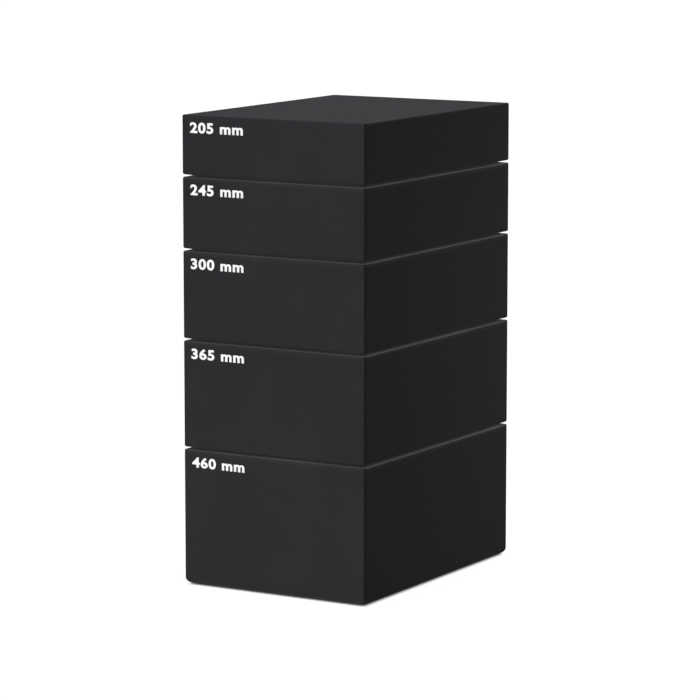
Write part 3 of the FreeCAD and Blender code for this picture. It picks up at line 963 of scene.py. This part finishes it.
def makeMark(block, box):  # the block's own height in millimetres
    letters = bpy.data.curves.new(f"{block}_mark", "FONT")
    letters.body = f"{round((box['top'] - box['floor']) * 1000)} mm"
    letters.offset = mark["bold"]
    letters.resolution_u = mark["resolution"]
    letters.space_character = mark["spacing"]
    letters.extrude = 0.5  # any depth does, as the letters are fitted to the mark's sizes below
    text = bpy.data.objects.new(f"{block}_markText", letters)
    bpy.context.scene.collection.objects.link(text)
    bpy.context.view_layer.update()
    mesh = bpy.data.meshes.new_from_object(text.evaluated_get(bpy.context.evaluated_depsgraph_get()))
    bpy.data.objects.remove(text)
    low, high = (Vector([end(v.co[k] for v in mesh.vertices) for k in range(3)]) for end in (min, max))
    for vert in mesh.vertices:
        share = Vector([(vert.co[k] - low[k]) / (high[k] - low[k]) for k in range(3)])
        vert.co = Vector((
            -box["halfWidth"] + mark["fromLeft"] + share.x * mark["width"],
            -box["halfDepth"] - mark["proud"] + (1 - share.z) * mark["depth"],
            box["top"] - mark["fromTop"] - (1 - share.y) * mark["height"],
        ))
    addPiece(f"{block}_height_mark", mesh, "print", block)


for block in blockNames:
    box = blockBox(block)
    for name in wallTurns:
        makeWall(block, name, box)
    makeLanding(block, box)
    makeTreadPanel(block, box)
    makeFoamPieces(block, box)
    makeZip(block, box)
    makeMark(block, box)
    print("dressed", block)


stage = {
    "size": 240.0,
    "drop": 0.0003,  # keeps the floor clear of the ribs that stand on it
    "floorForLight": 0.1,  # how pale the floor is to the light that it throws back
    "floorForEye": 0.9,
    "glow": 0.75,
    "contactReach": 0.008,  # how near the floor has to be to the object for the painted contact shadow under it
    "contactSamples": 8,
    "sky": 0.06,
}
lamps = {  # a soft key and an even fill from above, and low fills that stand in for light off a white floor
    "key": {"from": (0.03, -0.20, 1.76), "strength": 1.7, "angle": 40, "shine": True, "shadow": True},
    "topFill": {"from": (0.0, 0.0, 1.0), "strength": 2.2, "angle": 40, "shine": True, "shadow": False},
    "frontFill": {"from": (0.0, -1.0, -0.35), "strength": 2.8, "angle": 40, "shine": True, "shadow": False},
    # a panel that stands beside the back corner, so its light falls off towards the front
    "sideFill": {"from": (1.6, 1.5, 0.0), "place": (1.95, 1.5, 0.79), "strength": 14.5, "size": 0.8,
                 "shine": True, "shadow": False},
    "backFill": {"from": (-0.4, 1.0, -0.3), "strength": 2.2, "angle": 30, "shine": False, "shadow": False},
    "leftFill": {"from": (-1.0, -0.1, -0.3), "strength": 1.0, "angle": 30, "shine": False, "shadow": False},
}
camera = {
    "place": (5.920, -10.059, 2.528),
    "turn": 30.461,
    "down": 8.633,
    "lens": 179.2,
    "sensor": 36.0,
    "sight": 400.0,
}
white = (1.0, 1.0, 1.0, 1.0)


def grey(value):
    return (value, value, value, 1.0)


def whiteRays(tree):  # rays that see the studio as white: the camera's, and those from gloss and glass
    seen = addNode(tree, "ShaderNodeLightPath").outputs
    return mathNode(tree, "MAXIMUM", seen["Is Camera Ray"],
                    mathNode(tree, "MAXIMUM", seen["Is Glossy Ray"], seen["Is Transmission Ray"]))


def mixShader(tree, factor, first, second):
    node = addNode(tree, "ShaderNodeMixShader")
    feed(tree, factor, node.inputs["Fac"])
    tree.links.new(first.outputs[0], node.inputs[1])
    tree.links.new(second.outputs[0], node.inputs[2])
    return node


def makeFloor():
    mesh = bmesh.new()
    bmesh.ops.create_grid(mesh, x_segments=1, y_segments=1, size=stage["size"] / 2)
    made = keepMesh(mesh, "studioFloor")
    floor = bpy.data.objects.new("studioFloor", made)
    floor.location.z = -stage["drop"]
    bpy.context.scene.collection.objects.link(floor)
    material = bpy.data.materials.new("studioFloor")
    material.use_nodes = True
    tree = material.node_tree
    tree.nodes.clear()
    plain = addNode(tree, "ShaderNodeBsdfDiffuse", Color=grey(stage["floorForLight"]))
    pale = addNode(tree, "ShaderNodeBsdfDiffuse", Color=grey(stage["floorForEye"]))
    glow = addNode(tree, "ShaderNodeEmission", Color=white)
    # painted contact shadow: the floor's glow dims where the object is close
    contact = addNode(tree, "ShaderNodeAmbientOcclusion", samples=stage["contactSamples"],
                      Distance=stage["contactReach"])
    feed(tree, contact.outputs["AO"], glow.inputs["Strength"])
    shown = mixShader(tree, stage["glow"], pale, glow)
    floorShader = mixShader(tree, whiteRays(tree), plain, shown)
    feed(tree, floorShader.outputs[0], addNode(tree, "ShaderNodeOutputMaterial").inputs["Surface"])
    made.materials.append(material)


def makeLight():
    world = bpy.data.worlds.new("studio")
    bpy.context.scene.world = world
    world.use_nodes = True
    tree = world.node_tree
    tree.nodes.clear()
    dim = addNode(tree, "ShaderNodeBackground", Color=white, Strength=stage["sky"])
    bright = addNode(tree, "ShaderNodeBackground", Color=white, Strength=1.0)
    sky = mixShader(tree, whiteRays(tree), dim, bright)
    feed(tree, sky.outputs[0], addNode(tree, "ShaderNodeOutputWorld").inputs["Surface"])
    for name, lamp in lamps.items():
        data = bpy.data.lights.new(name, "AREA" if "place" in lamp else "SUN")
        data.energy = lamp["strength"]
        data.use_shadow = lamp["shadow"]
        light = bpy.data.objects.new(name, data)
        if "place" in lamp:
            data.size = lamp["size"]
            light.location = lamp["place"]
        else:
            data.angle = math.radians(lamp["angle"])
        light.visible_glossy = lamp["shine"]
        light.rotation_mode = "QUATERNION"
        light.rotation_quaternion = Vector(lamp["from"]).to_track_quat("Z", "Y")
        bpy.context.scene.collection.objects.link(light)


def makeCamera():
    data = bpy.data.cameras.new("photoCamera")
    data.sensor_width = camera["sensor"]
    data.lens = camera["lens"]
    data.clip_end = camera["sight"]
    eye = bpy.data.objects.new("photoCamera", data)
    eye.location = camera["place"]
    eye.rotation_euler = (math.radians(90 - camera["down"]), 0, math.radians(camera["turn"]))
    bpy.context.scene.collection.objects.link(eye)
    bpy.context.scene.camera = eye


makeFloor()
makeLight()
makeCamera()
bpy.context.scene.view_settings.view_transform = "Standard"
bpy.context.view_layer.update()
print("stage, light and camera set")
